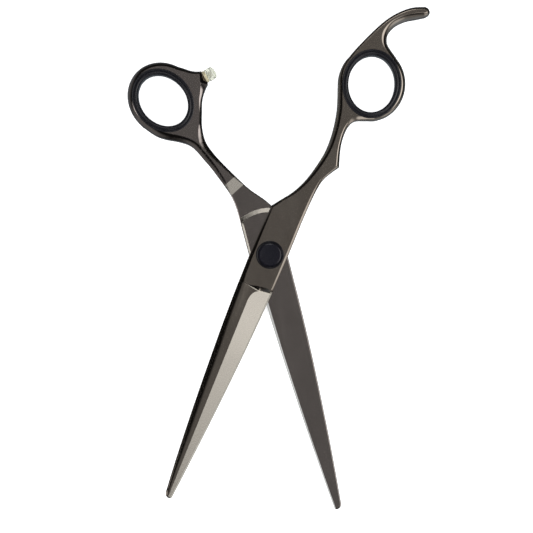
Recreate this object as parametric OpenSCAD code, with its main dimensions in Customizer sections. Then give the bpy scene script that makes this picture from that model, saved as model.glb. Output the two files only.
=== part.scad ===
/* [Opening] */
// Angle of the finger half's blade from -Y at rest, in degrees
finger_angle = 22; // [14:0.5:28]
// Angle of the thumb half's blade from -Y at rest, in degrees
thumb_angle = 14.3; // [8:0.1:22]

/* [Blades] */
// Distance from the pivot to the blade tips
blade_l = 95.5; // [85:0.1:105]
// Thickness of each half at the pivot
half_t = 2.6; // [2.5:0.1:3]
// Thickness of each blade at its tip
tip_t = 1.2; // [1:0.1:1.6]
// Height left at the cutting edge below the wide bevel
edge_t = 0.75; // [0.5:0.05:0.9]
// Distance from the pivot to the shoulder where the wide bevel starts
choil_y = 13; // [12:0.5:15]
// Offset of the bevel's upper line from the blade's centre line
bevel_x = 1.4; // [1:0.1:2]
// Width of the 45 degree chamfer along the spine
spine_chamfer = 0.9; // [0.5:0.1:1.2]
// Depth of the hollow grind on the inner faces
hollow_depth = 0.12; // [0.05:0.01:0.15]

/* [Handles] */
// Width of the finger hole inside its insert
finger_hole_w = 16.9; // [15.5:0.1:17.5]
// Length of the finger hole inside its insert
finger_hole_l = 20.5; // [18.5:0.1:21]
// Width of the thumb hole inside its insert
thumb_hole_w = 16.2; // [15:0.1:17]
// Length of the thumb hole inside its insert
thumb_hole_l = 20.2; // [18.5:0.1:20.8]
// Wall of the inserts inside the metal rings
insert_wall = 1.3; // [1:0.1:1.5]
// Overlap of the insert lips on the metal rings
lip_w = 1; // [0.6:0.1:1.2]
// Height of the insert lips above the metal rings
lip_h = 0.5; // [0.4:0.05:0.6]
// Length of the ramp from the ride level to the full handle thickness
ramp_l = 4.2; // [3.5:0.1:5]
// Step of the handle's inner face below the raised ride
ride_relief = 0.25; // [0.1:0.05:0.35]
// Radius of the fillets where shank, ring and finger rest meet
web_fillet = 1.2; // [0.6:0.1:1.6]

/* [Bumper] */
// Diameter of the bumper pad
bumper_d = 4.8; // [4.4:0.1:5]
// Distance from the thumb hole's centre to the pad's end
bumper_reach = 21.9; // [21.3:0.1:22]
// Direction of the bumper from the thumb hole's centre, in degrees
bumper_dir = 15.7; // [14:0.1:17]

/* [Pivot] */
// Diameter of the bolt's journal
journal_d = 5; // [4.8:0.1:5.2]
// Diameter of the bolt's thread
thread_d = 4.5; // [4.2:0.1:4.6]
// Diameter of the bolt's head
head_d = 8; // [7.5:0.1:8.5]
// Diameter of the tension dial
dial_d = 10.1; // [9.8:0.1:11]
// Number of balls in the thrust bearing
ball_count = 12; // [8:1:14]
// Number of click holes in the click plate
click_count = 16; // [12:2:18]

/* [Hidden] */
$fn = 64;

// Heights of the stack. The bolt head's flat face is z = 0.
head_proud = 0.5;
ride_z = head_proud + half_t;
handle_top = ride_z + half_t;
ride_gap = 0.03;
facet_inset = 0.03;
fit_gap = 0.03;
run_gap = 0.05;
head_depth = 1;
washer_recess = 0.2;
race_depth = 1.4;
race_z = handle_top - race_depth;
race_t = 0.3;
ball_d = 0.78;
ball_gap = 0.8;
dial_gap = 0.3;
click_t = 0.28;
click_z = handle_top + 0.47;
cavity_top = click_z + click_t + 0.02;
cap_z = handle_top + 1.85;
dial_top = handle_top + 2.15;
bolt_top = cap_z - 0.25;

// Radii of the pivot pieces
journal_r = journal_d / 2;
thread_r = thread_d / 2;
bush_r = journal_r + 0.7;
race_r = 4.2;
ball_circle_r = 3.35;
washer_r = 5.5;
detent_r = 3.2;
detent_hole_r = 0.35;
detent_ball_d = 0.6;

// Blade edges, written for a cutting edge on +X and the blade along -Y
blade_scale = blade_l / 95.5;
edge_line = [[5.95, -13], [5.55, -23], [4.95, -35], [4.15, -47], [3.2, -60], [2.2, -72], [1.15, -84],
  [0.1, -94.8]];
finger_spine = [[-2.8, -93.8], [-3.75, -83], [-4.65, -70], [-5.45, -56], [-6.05, -43], [-6.55, -30],
  [-6.85, -17]];
thumb_spine = [[-2.8, -93.8], [-3.6, -83], [-4.45, -70], [-5.15, -56], [-5.7, -43], [-6.05, -30],
  [-6.2, -17]];
tip_round = [[0.1, -94.8], [-0.4, -95.5], [-1.5, -95.5], [-2.4, -94.9], [-2.8, -93.8]];

// Finger half above the pivot: inner side up to its ring, outer side back down
finger_crotch = [[-6.2, 16.7], [-4, 19.8], [-1, 23.9], [1.1, 28], [2.5, 32], [3.6, 36.5], [4.4, 41],
  [4.6, 45.5], [4.1, 51.5], [2.9, 57.5], [1.4, 62], [-0.1, 66], [-0.9, 69.5]];
finger_outer = [[11.4, 38.8], [9.2, 35.3], [7.7, 32.2], [6.9, 28], [6.5, 22], [6.3, 14], [6.25, 2],
  [5.95, -13]];
finger_web = [[19.2, 61], [17, 59.25], [13.4, 57.8], [10.9, 56.7], [9.4, 55], [8.7, 51.8], [8.9, 47.5],
  [9.8, 43.6], [11.4, 38.8]];
finger_hole_at = [11, 71.2];
finger_hole_dir = 107.8;
finger_ring_wall = [3.8, 3.05];

// Finger rest, from the ring round its blunt end and back
rest_upper = [[-0.9, 73.5], [0, 78], [1.9, 83.3], [4.9, 90.3], [7.5, 95.2], [10.6, 99.2], [14.3, 102.4],
  [18.5, 104.4]];
rest_end = [[18.5, 104.4], [19.8, 104.3], [20.8, 103.3], [20.9, 102.2], [20, 100.9]];
rest_lower = [[20, 100.9], [17, 98.9], [13.8, 96.8], [11.2, 94], [9.9, 91], [9.9, 88.6], [11.2, 86.3],
  [14.6, 84]];

// Thumb half above the pivot, with the cutting edge on -X
thumb_crotch = [[5.1, 17], [2.8, 20.3], [-0.9, 24.5], [-3.6, 28.4], [-6.3, 32.7], [-8.8, 37], [-11, 41.3],
  [-12.5, 45.8], [-12.4, 51], [-11.2, 56], [-9.8, 60.7], [-7.8, 64], [-6.6, 65.4]];
thumb_outer = [[-33, 56], [-29.6, 52.1], [-26.4, 49.9], [-22.9, 48.3], [-19.6, 46.5], [-17.2, 44.2],
  [-15, 40], [-13, 36], [-11.3, 32], [-9.7, 28], [-8.3, 24], [-7.6, 19],
  [-7.45, 11], [-7.35, 2], [-6.9, -6], [-5.95, -13]];
thumb_hole_at = [-23.7, 63.7];
thumb_hole_dir = 117.6;
thumb_ring_wall = [4.5, 3.9];
thumb_ring_shift = [0.4, 0.43];
boss_reach = 17.25;
boss_top = [[-8.16, 70.62], [-10.8, 71.4], [-14, 73.4], [-18, 75.8]];

// The raised ride ends on an arc about the pivot and a straight side, with a round corner
ride_r = 15.6;
ride_side_x = 6.5;
ride_corner = 2;

// Curve through a list of points, with n steps between each pair
function spline_at(a, b, c, d, t) =
  0.5 * (2 * b + (c - a) * t + (2 * a - 5 * b + 4 * c - d) * t * t + (3 * b - a - 3 * c + d) * t * t * t);
function spline(p, n) = [
  for (i = [0:len(p) - 2])
    for (k = [0:n - 1])
      spline_at(p[max(i - 1, 0)], p[i], p[i + 1], p[min(i + 2, len(p) - 1)], k / n),
  p[len(p) - 1]
];
function flip_x(p) = [for (q = p) [-q[0], q[1]]];
function blade_side(p) = [for (q = p) [q[0], q[1] * (q[1] < -choil_y ? blade_scale : 1)]];
function turned(p, a, at) = [
  for (q = p) at + [q[0] * cos(a) - q[1] * sin(a), q[0] * sin(a) + q[1] * cos(a)]
];

// Ellipse round a finger hole, w wide and l long, whose long axis points along dir
function ring_curve(w, l, dir, at, n = 72) =
  turned([for (i = [0:n - 1]) [l / 2 * cos(i * 360 / n), w / 2 * sin(i * 360 / n)]], dir, at);

module place_finger() {
  rotate(-finger_angle)
    children();
}

module place_thumb() {
  rotate(thumb_angle)
    children();
}

// Puts a half that is drawn with its outer side up on top of the ride plane, or below it
module upper_side() {
  translate([0, 0, ride_z])
    children();
}

module lower_side() {
  translate([0, 0, ride_z])
    mirror([0, 0, 1])
      children();
}

module finger_outline() {
  blade = concat(spline(blade_side(finger_spine), 3), [[-6.9, -4], [-6.6, 8]]);
  shank = concat(spline(finger_crotch, 3), [finger_hole_at], spline(finger_web, 4), spline(finger_outer, 3));
  edge = concat(spline(blade_side(edge_line), 3), spline(blade_side(tip_round), 3));
  offset(r = -web_fillet)
    offset(delta = web_fillet)
      union() {
        polygon(concat(blade, shank, edge));
        polygon(concat(spline(rest_upper, 4), spline(rest_end, 3), spline(rest_lower, 4)));
        polygon(ring_curve(finger_hole_w + 2 * finger_ring_wall[0], finger_hole_l + 2 * finger_ring_wall[1],
          finger_hole_dir, finger_hole_at));
      }
}

module thumb_outline() {
  axis = [cos(bumper_dir), sin(bumper_dir)];
  side = [-axis[1], axis[0]] * bumper_d / 2;
  boss_end = thumb_hole_at + axis * boss_reach;
  blade = concat(spline(blade_side(flip_x(thumb_spine)), 3), [[6.2, -4], [6.2, 15.4]]);
  shank = concat(spline(thumb_crotch, 3), [boss_end - side, boss_end + side], spline(boss_top, 3));
  outer = concat([thumb_hole_at], spline(thumb_outer, 3));
  edge = concat(spline(blade_side(flip_x(edge_line)), 3), spline(blade_side(flip_x(tip_round)), 3));
  offset(r = -web_fillet)
    offset(delta = web_fillet)
      union() {
        polygon(concat(blade, shank, outer, edge));
        polygon(ring_curve(thumb_hole_w + 2 * thumb_ring_wall[0], thumb_hole_l + 2 * thumb_ring_wall[1],
          thumb_hole_dir, thumb_hole_at + thumb_ring_shift));
      }
}

// The faces of both halves share these cutters. They are drawn for a cutting edge
// on +X, with the ride plane at z = 0 and the outer side up.

// Takes the inner side down to the ride level, with a ramp up to the full thickness
module inner_step(ramp_at, ramp_dir) {
  level = ride_gap + ride_relief;
  difference() {
    translate([ramp_at[0], ramp_at[1], 0])
      rotate([0, 0, ramp_dir])
        rotate([90, 0, 0])
          linear_extrude(height = 200, center = true)
            polygon([[-170, level], [0, level], [ramp_l, -half_t], [ramp_l + 1, -half_t - 1],
              [-170, -half_t - 1]]);
    translate([0, 0, ride_gap])
      linear_extrude(height = half_t)
        ride_shape();
  }
}

module ride_shape() {
  corner_x = ride_side_x - ride_corner;
  corner_y = sqrt(pow(ride_r - ride_corner, 2) - pow(corner_x, 2));
  translate([-20, -120])
    square([20 + ride_side_x, 120 + corner_y]);
  translate([corner_x, corner_y])
    circle(r = ride_corner);
  intersection() {
    circle(r = ride_r);
    polygon([[0, 0], [2 * corner_x, 2 * corner_y], [-30, 2 * corner_y], [-30, 0]]);
  }
}

// Half space above the plane through a point, tilted about X and then about Y
module half_space(at, tilt_x, tilt_y, y_max) {
  translate(at)
    rotate([tilt_x, tilt_y, 0])
      translate([-60, -130, 0])
        cube([120, 130 + y_max, 30]);
}

module blade_grinds(spine) {
  taper = (half_t - tip_t) / (blade_l - choil_y);
  fall = (half_t - edge_t) / (bevel_x + edge_line[0][0]);
  bevel_tilt = atan(fall);
  top_at = [-bevel_x, -choil_y, half_t];
  half_space(top_at, atan(taper), 0, 0);
  half_space(top_at, atan(taper * cos(bevel_tilt)), bevel_tilt, 0);
  edge_facets();
  spine_facets(spine, taper);
  hollow_grind();
}

// Steep facets that bring the blade to its edge, set in a little from the outline
module edge_facets() {
  edge = blade_side(edge_line);
  for (i = [0:len(edge) - 2]) {
    run = edge[i + 1] - edge[i];
    translate([edge[i][0] - facet_inset, edge[i][1], ride_gap + 0.1])
      rotate([0, 0, atan2(run[1], run[0]) + 90])
        rotate([0, 42, 0])
          translate([-20, -norm(run) - 1, 0])
            cube([40, norm(run) + (i == 0 ? 1 : 2), 20]);
  }
}

// Facets at 45 degrees along the tapering spine
module spine_facets(spine, taper) {
  line = blade_side(spine);
  for (i = [0:len(line) - 2]) {
    run = line[i + 1] - line[i];
    z = half_t + taper * (line[i][1] + choil_y) - spine_chamfer;
    translate([line[i][0] + facet_inset, line[i][1], z])
      rotate([0, 0, atan2(run[1], run[0]) - 90])
        rotate([atan(taper), 0, 0])
          rotate([0, -45, 0])
            translate([-20, -1, 0])
              cube([40, norm(run) + 2, 20]);
  }
}

// Shallow hollow on the inner face, deepest at the choil and gone at the tip
module hollow_grind() {
  radius = 30;
  run_out = 90;
  translate([-0.6, -choil_y - 2, ride_gap + hollow_depth - radius])
    rotate([90 + atan(hollow_depth / run_out), 0, 3])
      cylinder(r = radius, h = run_out, $fn = 128);
}

module finger_plate() {
  linear_extrude(height = 2 * half_t, center = true)
    difference() {
      finger_outline();
      polygon(ring_curve(finger_hole_w + 2 * insert_wall + 2 * fit_gap,
        finger_hole_l + 2 * insert_wall + 2 * fit_gap, finger_hole_dir, finger_hole_at));
    }
}

module thumb_plate() {
  linear_extrude(height = 2 * half_t, center = true)
    difference() {
      thumb_outline();
      polygon(ring_curve(thumb_hole_w + 2 * insert_wall + 2 * fit_gap,
        thumb_hole_l + 2 * insert_wall + 2 * fit_gap, thumb_hole_dir, thumb_hole_at));
    }
}

module finger_half() {
  color([0.28, 0.26, 0.24])
    place_finger()
      difference() {
        upper_side()
          difference() {
            finger_plate();
            inner_step([3.3, 26], 72);
            blade_grinds(finger_spine);
          }
        translate([0, 0, ride_z - 1])
          cylinder(r = bush_r + 0.01, h = 4);
        translate([0, 0, ride_z - 1])
          cylinder(r = washer_r + 0.1, h = 1 + ride_gap + washer_recess);
        translate([0, 0, race_z])
          cylinder(r = race_r, h = race_depth + 1);
      }
}

module thumb_half() {
  axis = [cos(bumper_dir), sin(bumper_dir)];
  boss_end = thumb_hole_at + axis * boss_reach;
  color([0.28, 0.26, 0.24])
    place_thumb()
      difference() {
        lower_side()
          difference() {
            thumb_plate();
            mirror([1, 0, 0])
              inner_step([5.5, 25.8], 62.4);
            mirror([1, 0, 0])
              blade_grinds(thumb_spine);
          }
        keyed_cylinder(journal_r + fit_gap, journal_r - 0.4 + fit_gap, head_proud, ride_z);
        cylinder(r = head_d / 2 + 0.1, h = head_proud + head_depth);
        translate([0, 0, ride_z - ride_gap - washer_recess])
          cylinder(r = washer_r + 0.1, h = 2);
        translate([boss_end[0], boss_end[1], ride_z])
          rotate([0, 0, bumper_dir])
            rotate([0, -90, 0])
              translate([0, 0, -1])
                cylinder(r = 0.82, h = 3.2);
      }
}

// Cylinder with two flats across X, from z0 to z1
module keyed_cylinder(radius, flat, z0, z1) {
  intersection() {
    translate([0, 0, z0])
      cylinder(r = radius, h = z1 - z0);
    translate([-flat, -radius - 1, z0 - 1])
      cube([2 * flat, 2 * radius + 2, z1 - z0 + 2]);
  }
}

// Rubber ring: one closed section carried round the hole
module insert_ring(w, l, dir, at) {
  low = head_proud - fit_gap;
  high = handle_top + fit_gap;
  out = insert_wall + lip_w;
  top = handle_top + lip_h;
  section = [[0, 1.4], [0, top - 1.4], [0.25, top - 0.45], [0.8, top], [1.6, top], [out, top - 0.3],
    [out, high], [insert_wall, high], [insert_wall, low], [out, low], [out, 0.3], [1.6, 0], [0.8, 0],
    [0.25, 0.45]];
  rows = 72;
  cols = len(section);
  points = [
    for (i = [0:rows - 1])
      for (s = section)
        let (a = i * 360 / rows, q = [(l / 2 + s[0]) * cos(a), (w / 2 + s[0]) * sin(a)])
          concat(turned([q], dir, at)[0], s[1])
  ];
  faces = [
    for (i = [0:rows - 1])
      for (j = [0:cols - 1])
        let (i2 = (i + 1) % rows, j2 = (j + 1) % cols)
          for (f = [
            [i * cols + j, i2 * cols + j, i2 * cols + j2],
            [i * cols + j, i2 * cols + j2, i * cols + j2]
          ]) f
  ];
  polyhedron(points, faces);
}

module finger_insert() {
  color([0.06, 0.06, 0.07])
    place_finger()
      insert_ring(finger_hole_w, finger_hole_l, finger_hole_dir, finger_hole_at);
}

module thumb_insert() {
  color([0.06, 0.06, 0.07])
    place_thumb()
      insert_ring(thumb_hole_w, thumb_hole_l, thumb_hole_dir, thumb_hole_at);
}

// Puts a piece that is drawn along +Z on the bumper's axis, starting at the boss
module on_bumper_axis() {
  axis = [cos(bumper_dir), sin(bumper_dir)];
  boss_end = thumb_hole_at + axis * boss_reach;
  place_thumb()
    translate([boss_end[0], boss_end[1], ride_z])
      rotate([0, 0, bumper_dir])
        rotate([0, 90, 0])
          children();
}

module bumper_stud() {
  color([0.78, 0.7, 0.5])
    on_bumper_axis()
      rotate_extrude()
        polygon([[0, -2.1], [0.6, -2.1], [0.8, -1.9], [0.8, 0.03], [2.1, 0.03], [2.3, 0.23], [2.3, 0.8],
          [1.9, 1], [0.8, 1], [0.8, 2.2], [1.1, 2.4], [1.1, 2.8], [0.8, 3], [0, 3]]);
}

module bumper_pad() {
  length = bumper_reach - boss_reach;
  radius = bumper_d / 2;
  color([0.85, 0.86, 0.88], 0.6)
    on_bumper_axis()
      rotate_extrude()
        polygon([[0.83, 1.02], [radius - 0.4, 1.02], [radius, 1.5], [radius, length - 0.9],
          [radius - 0.4, length - 0.25], [radius - 1.1, length], [0, length], [0, 3.05], [0.83, 3.05],
          [1.13, 2.83], [1.13, 2.37], [0.83, 2.17]]);
}

module pivot_bolt() {
  neck_z = head_proud + head_depth;
  color([0.55, 0.55, 0.56])
    place_thumb()
      union() {
        rotate_extrude()
          polygon([[0, 0], [head_d / 2 - 0.25, 0], [head_d / 2, 0.25], [head_d / 2, neck_z], [0, neck_z]]);
        keyed_cylinder(journal_r, journal_r - 0.4, neck_z - 0.1, ride_z - 0.1);
        translate([0, 0, ride_z - 0.1])
          cylinder(r = journal_r, h = handle_top - race_t - 0.02 - ride_z + 0.1);
        keyed_cylinder(thread_r, thread_r - 0.35, handle_top - race_t - 0.1, bolt_top);
      }
}

module pivot_bush() {
  z = ride_z + ride_gap + washer_recess;
  color([0.72, 0.58, 0.32])
    washer(journal_r + run_gap, bush_r, z, race_z - z);
}

module washer(inner, outer, z, height) {
  translate([0, 0, z])
    difference() {
      cylinder(r = outer, h = height);
      translate([0, 0, -1])
        cylinder(r = inner, h = height + 2);
    }
}

module glide_washer() {
  thickness = 2 * (washer_recess + ride_gap) - 0.06;
  color([0.92, 0.92, 0.9])
    washer(journal_r + 0.1, washer_r, ride_z - thickness / 2, thickness);
}

module lower_race() {
  color([0.7, 0.7, 0.72])
    washer(journal_r + 0.2, race_r - run_gap, race_z, race_t);
}

module ball_positions() {
  for (i = [0:ball_count - 1])
    rotate(i * 360 / ball_count)
      translate([ball_circle_r, 0, race_z + race_t + ball_gap / 2])
        children();
}

module ball_cage() {
  color([0.75, 0.62, 0.35])
    difference() {
      washer(journal_r + 0.2, race_r - 0.15, race_z + 0.5, 0.4);
      ball_positions()
        cylinder(r = ball_d / 2 + 0.02, h = 2, center = true);
    }
}

module bearing_balls() {
  color([0.85, 0.85, 0.87])
    ball_positions()
      sphere(r = ball_d / 2, $fn = 32);
}

module upper_race() {
  color([0.7, 0.7, 0.72])
    place_thumb()
      difference() {
        translate([0, 0, handle_top - race_t])
          cylinder(r = race_r - 0.1, h = race_t);
        keyed_cylinder(thread_r + fit_gap, thread_r - 0.35 + fit_gap, handle_top - 1, handle_top + 1);
      }
}

module spring_washer() {
  inner = thread_r + 0.2;
  color([0.5, 0.5, 0.52])
    place_thumb()
      translate([0, 0, handle_top])
        rotate_extrude()
          polygon([[inner, 0.29], [3.9, 0.01], [3.9, 0.16], [inner, 0.44]]);
}

module click_plate() {
  color([0.62, 0.62, 0.64])
    place_thumb()
      difference() {
        translate([0, 0, click_z])
          cylinder(r = race_r - 0.2, h = click_t);
        keyed_cylinder(thread_r + fit_gap, thread_r - 0.35 + fit_gap, click_z - 1, click_z + 1);
        for (i = [0:click_count - 1])
          rotate(i * 360 / click_count)
            translate([detent_r, 0, click_z - 1])
              cylinder(r = 0.2, h = 2);
      }
}

module detent_places() {
  for (i = [0:1])
    rotate(180 * i)
      translate([detent_r, 0, 0])
        children();
}

module detent_balls() {
  color([0.85, 0.85, 0.87])
    place_thumb()
      detent_places()
        translate([0, 0, cavity_top + detent_ball_d / 2])
          sphere(r = detent_ball_d / 2, $fn = 32);
}

// Coil spring on its own axis, from z0 to z1
module coil_spring(radius, wire, z0, z1, turns) {
  steps = 14 * turns;
  sides = 6;
  rise = z1 - z0 - wire;
  points = [
    for (i = [0:steps])
      for (j = [0:sides - 1])
        let (a = i * 360 * turns / steps, r = radius + wire / 2 * cos(j * 360 / sides))
          [r * cos(a), r * sin(a), z0 + wire / 2 + rise * i / steps + wire / 2 * sin(j * 360 / sides)]
  ];
  walls = [
    for (i = [0:steps - 1])
      for (j = [0:sides - 1])
        let (j2 = (j + 1) % sides)
          for (f = [
            [i * sides + j, (i + 1) * sides + j2, (i + 1) * sides + j],
            [i * sides + j, i * sides + j2, (i + 1) * sides + j2]
          ]) f
  ];
  first = [for (j = [sides - 1:-1:0]) j];
  last = [for (j = [0:sides - 1]) steps * sides + j];
  polyhedron(points, concat(walls, [first, last]));
}

module detent_springs() {
  color([0.6, 0.6, 0.62])
    place_thumb()
      detent_places()
        coil_spring(0.24, 0.1, cavity_top + detent_ball_d + 0.01, cap_z - 0.01, 2.5);
}

module dial_nut() {
  outer = dial_d / 2;
  bottom = handle_top + dial_gap;
  inlay_r = outer - 0.75;
  color([0.12, 0.12, 0.15])
    place_thumb()
      difference() {
        rotate_extrude()
          polygon([[thread_r + run_gap, cavity_top], [race_r, cavity_top], [race_r, bottom],
            [outer - 0.15, bottom], [outer, bottom + 0.15], [outer, dial_top - 0.25],
            [outer - 0.25, dial_top], [inlay_r, dial_top], [inlay_r, cap_z], [thread_r + run_gap, cap_z]]);
        detent_places()
          translate([0, 0, cavity_top - 1])
            cylinder(r = detent_hole_r, h = 3);
      }
}

module dial_cap() {
  inlay_r = dial_d / 2 - 0.75;
  color([0.1, 0.1, 0.13])
    place_thumb()
      translate([0, 0, cap_z])
        cylinder(r = inlay_r - 0.01, h = dial_top - cap_z - 0.05);
}

finger_half();
thumb_half();
finger_insert();
thumb_insert();
bumper_stud();
bumper_pad();
pivot_bolt();
pivot_bush();
glide_washer();
lower_race();
ball_cage();
bearing_balls();
upper_race();
spring_washer();
click_plate();
detent_springs();
detent_balls();
dial_nut();
dial_cap();
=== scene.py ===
import math

import bmesh
import bpy
import numpy as np
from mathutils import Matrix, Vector
from mathutils.geometry import delaunay_2d_cdt


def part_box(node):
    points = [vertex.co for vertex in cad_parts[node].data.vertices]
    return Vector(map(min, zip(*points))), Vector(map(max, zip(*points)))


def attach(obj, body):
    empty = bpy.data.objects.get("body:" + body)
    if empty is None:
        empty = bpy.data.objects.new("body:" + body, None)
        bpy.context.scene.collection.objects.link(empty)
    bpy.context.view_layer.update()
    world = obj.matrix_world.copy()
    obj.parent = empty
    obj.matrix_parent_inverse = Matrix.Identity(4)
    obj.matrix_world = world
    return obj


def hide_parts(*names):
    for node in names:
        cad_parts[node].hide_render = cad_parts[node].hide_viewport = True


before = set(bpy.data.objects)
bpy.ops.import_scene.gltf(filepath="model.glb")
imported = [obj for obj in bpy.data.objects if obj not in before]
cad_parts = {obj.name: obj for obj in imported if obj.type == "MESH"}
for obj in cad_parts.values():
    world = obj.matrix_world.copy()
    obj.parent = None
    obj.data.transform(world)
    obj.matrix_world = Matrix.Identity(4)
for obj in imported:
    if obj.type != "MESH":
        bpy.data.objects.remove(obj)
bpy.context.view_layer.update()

# Lengths below are in mm unless they say otherwise. Each half is made in its own "edge frame":
# the blade along -Y, its cutting edge on +X, its outer side up, and the plane where the two
# halves meet at z = 0.
MM = 0.001
RIDE_Z = 3.1
FINGER_TURN = math.radians(-22)
THUMB_TURN = math.radians(14.3)
BUMPER_ANGLE = math.radians(30)
FINGER_BORE_R = 3.21
THUMB_BORE_R = 2.53

# The outer side: the blade's thickness and length, its flat and its wide bevel.
HALF_T = 2.6
TIP_T = 1.2
BLADE_L = 95.5
CHOIL_Y = -13.0
PAST_TIP_Y = -99.0
EDGE_Z = 0.13
FLAT_DIP = 0.24
BEVEL_X = -1.35
BEVEL_SLOPE = math.tan(math.radians(14.1))

# The inner side: the raised ride round the pivot, the narrow bevel or band round it, the relief
# behind it, the ramp up to the handle, the blade's hollow and the glide washer's recess.
RIDE_GAP = 0.03
RIDE_R = 15.6
RIDE_X = 6.5
RIDE_ROUND = 1.2
BAND_TOP = 1.5
BAND_SIDE = 0.65
RELIEF = 0.28
RAMP_L = 4.2
HOLLOW_DEPTH = 0.05
HOLLOW_HALF_W = 2.7
RECESS_R = 5.6
RECESS_DEPTH = 0.23


# -------------------- curves and outlines

def turned(points, angle):
    """Points turned about the origin, by an angle in radians."""
    p = np.asarray(points, float)
    c, s = math.cos(angle), math.sin(angle)
    return np.stack([p[:, 0] * c - p[:, 1] * s, p[:, 0] * s + p[:, 1] * c], 1)


def slice_loops(node, height):
    """The closed outlines, in mm, of a CAD node cut at a height."""
    bm = bmesh.new()
    bm.from_mesh(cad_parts[node].data)
    bmesh.ops.remove_doubles(bm, verts=bm.verts[:], dist=1e-6)
    cut = bmesh.ops.bisect_plane(
        bm, geom=bm.verts[:] + bm.edges[:] + bm.faces[:],
        plane_co=(0, 0, height * MM), plane_no=(0, 0, 1))["geom_cut"]
    bm.verts.index_update()
    links, place = {}, {}
    for edge in cut:
        if isinstance(edge, bmesh.types.BMEdge):
            a, b = edge.verts
            place[a.index] = a.co / MM
            place[b.index] = b.co / MM
            links.setdefault(a.index, []).append(b.index)
            links.setdefault(b.index, []).append(a.index)
    loops = []
    while links:
        start = next(iter(links))
        path, last, here = [start], None, start
        while True:
            onward = [n for n in links[here] if n != last]
            last, here = here, onward[0]
            if here == start:
                break
            path.append(here)
        for n in path:
            links.pop(n)
        loops.append(np.array([[place[n].x, place[n].y] for n in path]))
    bm.free()
    return loops


def half_outline(node, side, to_edge):
    """A half's outline and ring hole in its edge frame. The slice near the ride plane gives the blade
    down to its cutting edge, and the deeper one the shank, which is relieved behind the ride."""
    parts = []
    for depth in (1.0, 0.16):
        loops = [to_edge(loop) for loop in slice_loops(node, RIDE_Z + side * depth)]
        parts.append([loop if area_of(loop) > 0 else loop[::-1] for loop in loops])
    whole = max(parts[0], key=length_of)
    blade = min(parts[1], key=lambda loop: loop[:, 1].min())
    whole = np.roll(whole, -crossing(whole, 1), 0)
    upper = whole[:crossing(whole, -1)]
    blade = np.roll(blade, -crossing(blade, -1), 0)
    lower = blade[:crossing(blade, 1)]
    hole = sorted(parts[0], key=length_of)[-2]
    return np.concatenate([upper, lower]), hole


def crossing(loop, sense):
    """Index of the loop's first point past y = 0, going up (1) or down (-1)."""
    above = loop[:, 1] >= 0
    if sense < 0:
        above = ~above
    return int(np.flatnonzero(above & ~np.roll(above, 1))[-1 if sense < 0 and above[0] else 0])


def length_of(loop):
    return np.linalg.norm(np.roll(loop, -1, 0) - loop, axis=1).sum()


def area_of(loop):
    after = np.roll(loop, -1, 0)
    return 0.5 * (loop[:, 0] * after[:, 1] - after[:, 0] * loop[:, 1]).sum()


def unit(vectors):
    return vectors / np.linalg.norm(vectors, axis=1)[:, None]


def left_of(way):
    """Unit directions to the left of the given ones."""
    return unit(np.stack([-way[:, 1], way[:, 0]], 1))


def curve_weights(t):
    """Shares of a cubic's start point, start slope, end point and end slope at t."""
    return (2 * t ** 3 - 3 * t ** 2 + 1, t ** 3 - 2 * t ** 2 + t,
            3 * t ** 2 - 2 * t ** 3, t ** 3 - t ** 2)


def curve_through(loop, spacing, corner=30.0, close=0.08):
    """A closed loop resampled on a smooth curve through its points, which keeps its corners."""
    kept = [loop[0]]
    for p in loop[1:]:
        if np.linalg.norm(p - kept[-1]) > close:
            kept.append(p)
    if np.linalg.norm(kept[-1] - kept[0]) < close:
        kept.pop()
    p = np.array(kept)
    run = np.roll(p, -1, 0) - p
    size = np.linalg.norm(run, axis=1)
    way = run / size[:, None]
    before = np.roll(way, 1, 0)
    before_size = np.roll(size, 1)
    turn = np.degrees(np.arccos(np.clip((way * before).sum(1), -1, 1)))
    sharp = turn > corner
    tangent = unit(before * size[:, None] + way * before_size[:, None])
    out = []
    for i in range(len(p)):
        j = (i + 1) % len(p)
        t0 = way[i] if sharp[i] else tangent[i]
        t1 = way[i] if sharp[j] else tangent[j]
        n = max(1, math.ceil(size[i] / spacing))
        for k in range(n):
            h1, h2, h3, h4 = curve_weights(k / n)
            out.append(h1 * p[i] + h2 * size[i] * t0 + h3 * p[j] + h4 * size[i] * t1)
    return np.array(out)


def circle(radius, n):
    a = np.arange(n) * 2 * math.pi / n
    return np.stack([radius * np.cos(a), radius * np.sin(a)], 1)


def spread(points, spacing):
    """An open line resampled on a smooth curve through its points."""
    p = np.asarray(points, float)
    slopes = np.gradient(p, axis=0)
    out = []
    for i in range(len(p) - 1):
        n = max(1, math.ceil(np.linalg.norm(p[i + 1] - p[i]) / spacing))
        for k in range(n):
            h1, h2, h3, h4 = curve_weights(k / n)
            out.append(h1 * p[i] + h2 * slopes[i] + h3 * p[i + 1] + h4 * slopes[i + 1])
    out.append(p[-1])
    return np.array(out)


# -------------------- rounding along an outline
# Each rule is (x, y, width, round, soft, flat, edge), and numbers left off its end are 0. From the
# outline's point nearest to x, y the surface rises over that width by a round, a parabolic and a
# flat part, and edge 1 brings it down to the cutting edge. Between two rules the numbers change
# evenly. Each point has five numbers for the outer side, with edge last, then five for the inner.
EDGE = 4
INNER = 5


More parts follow.
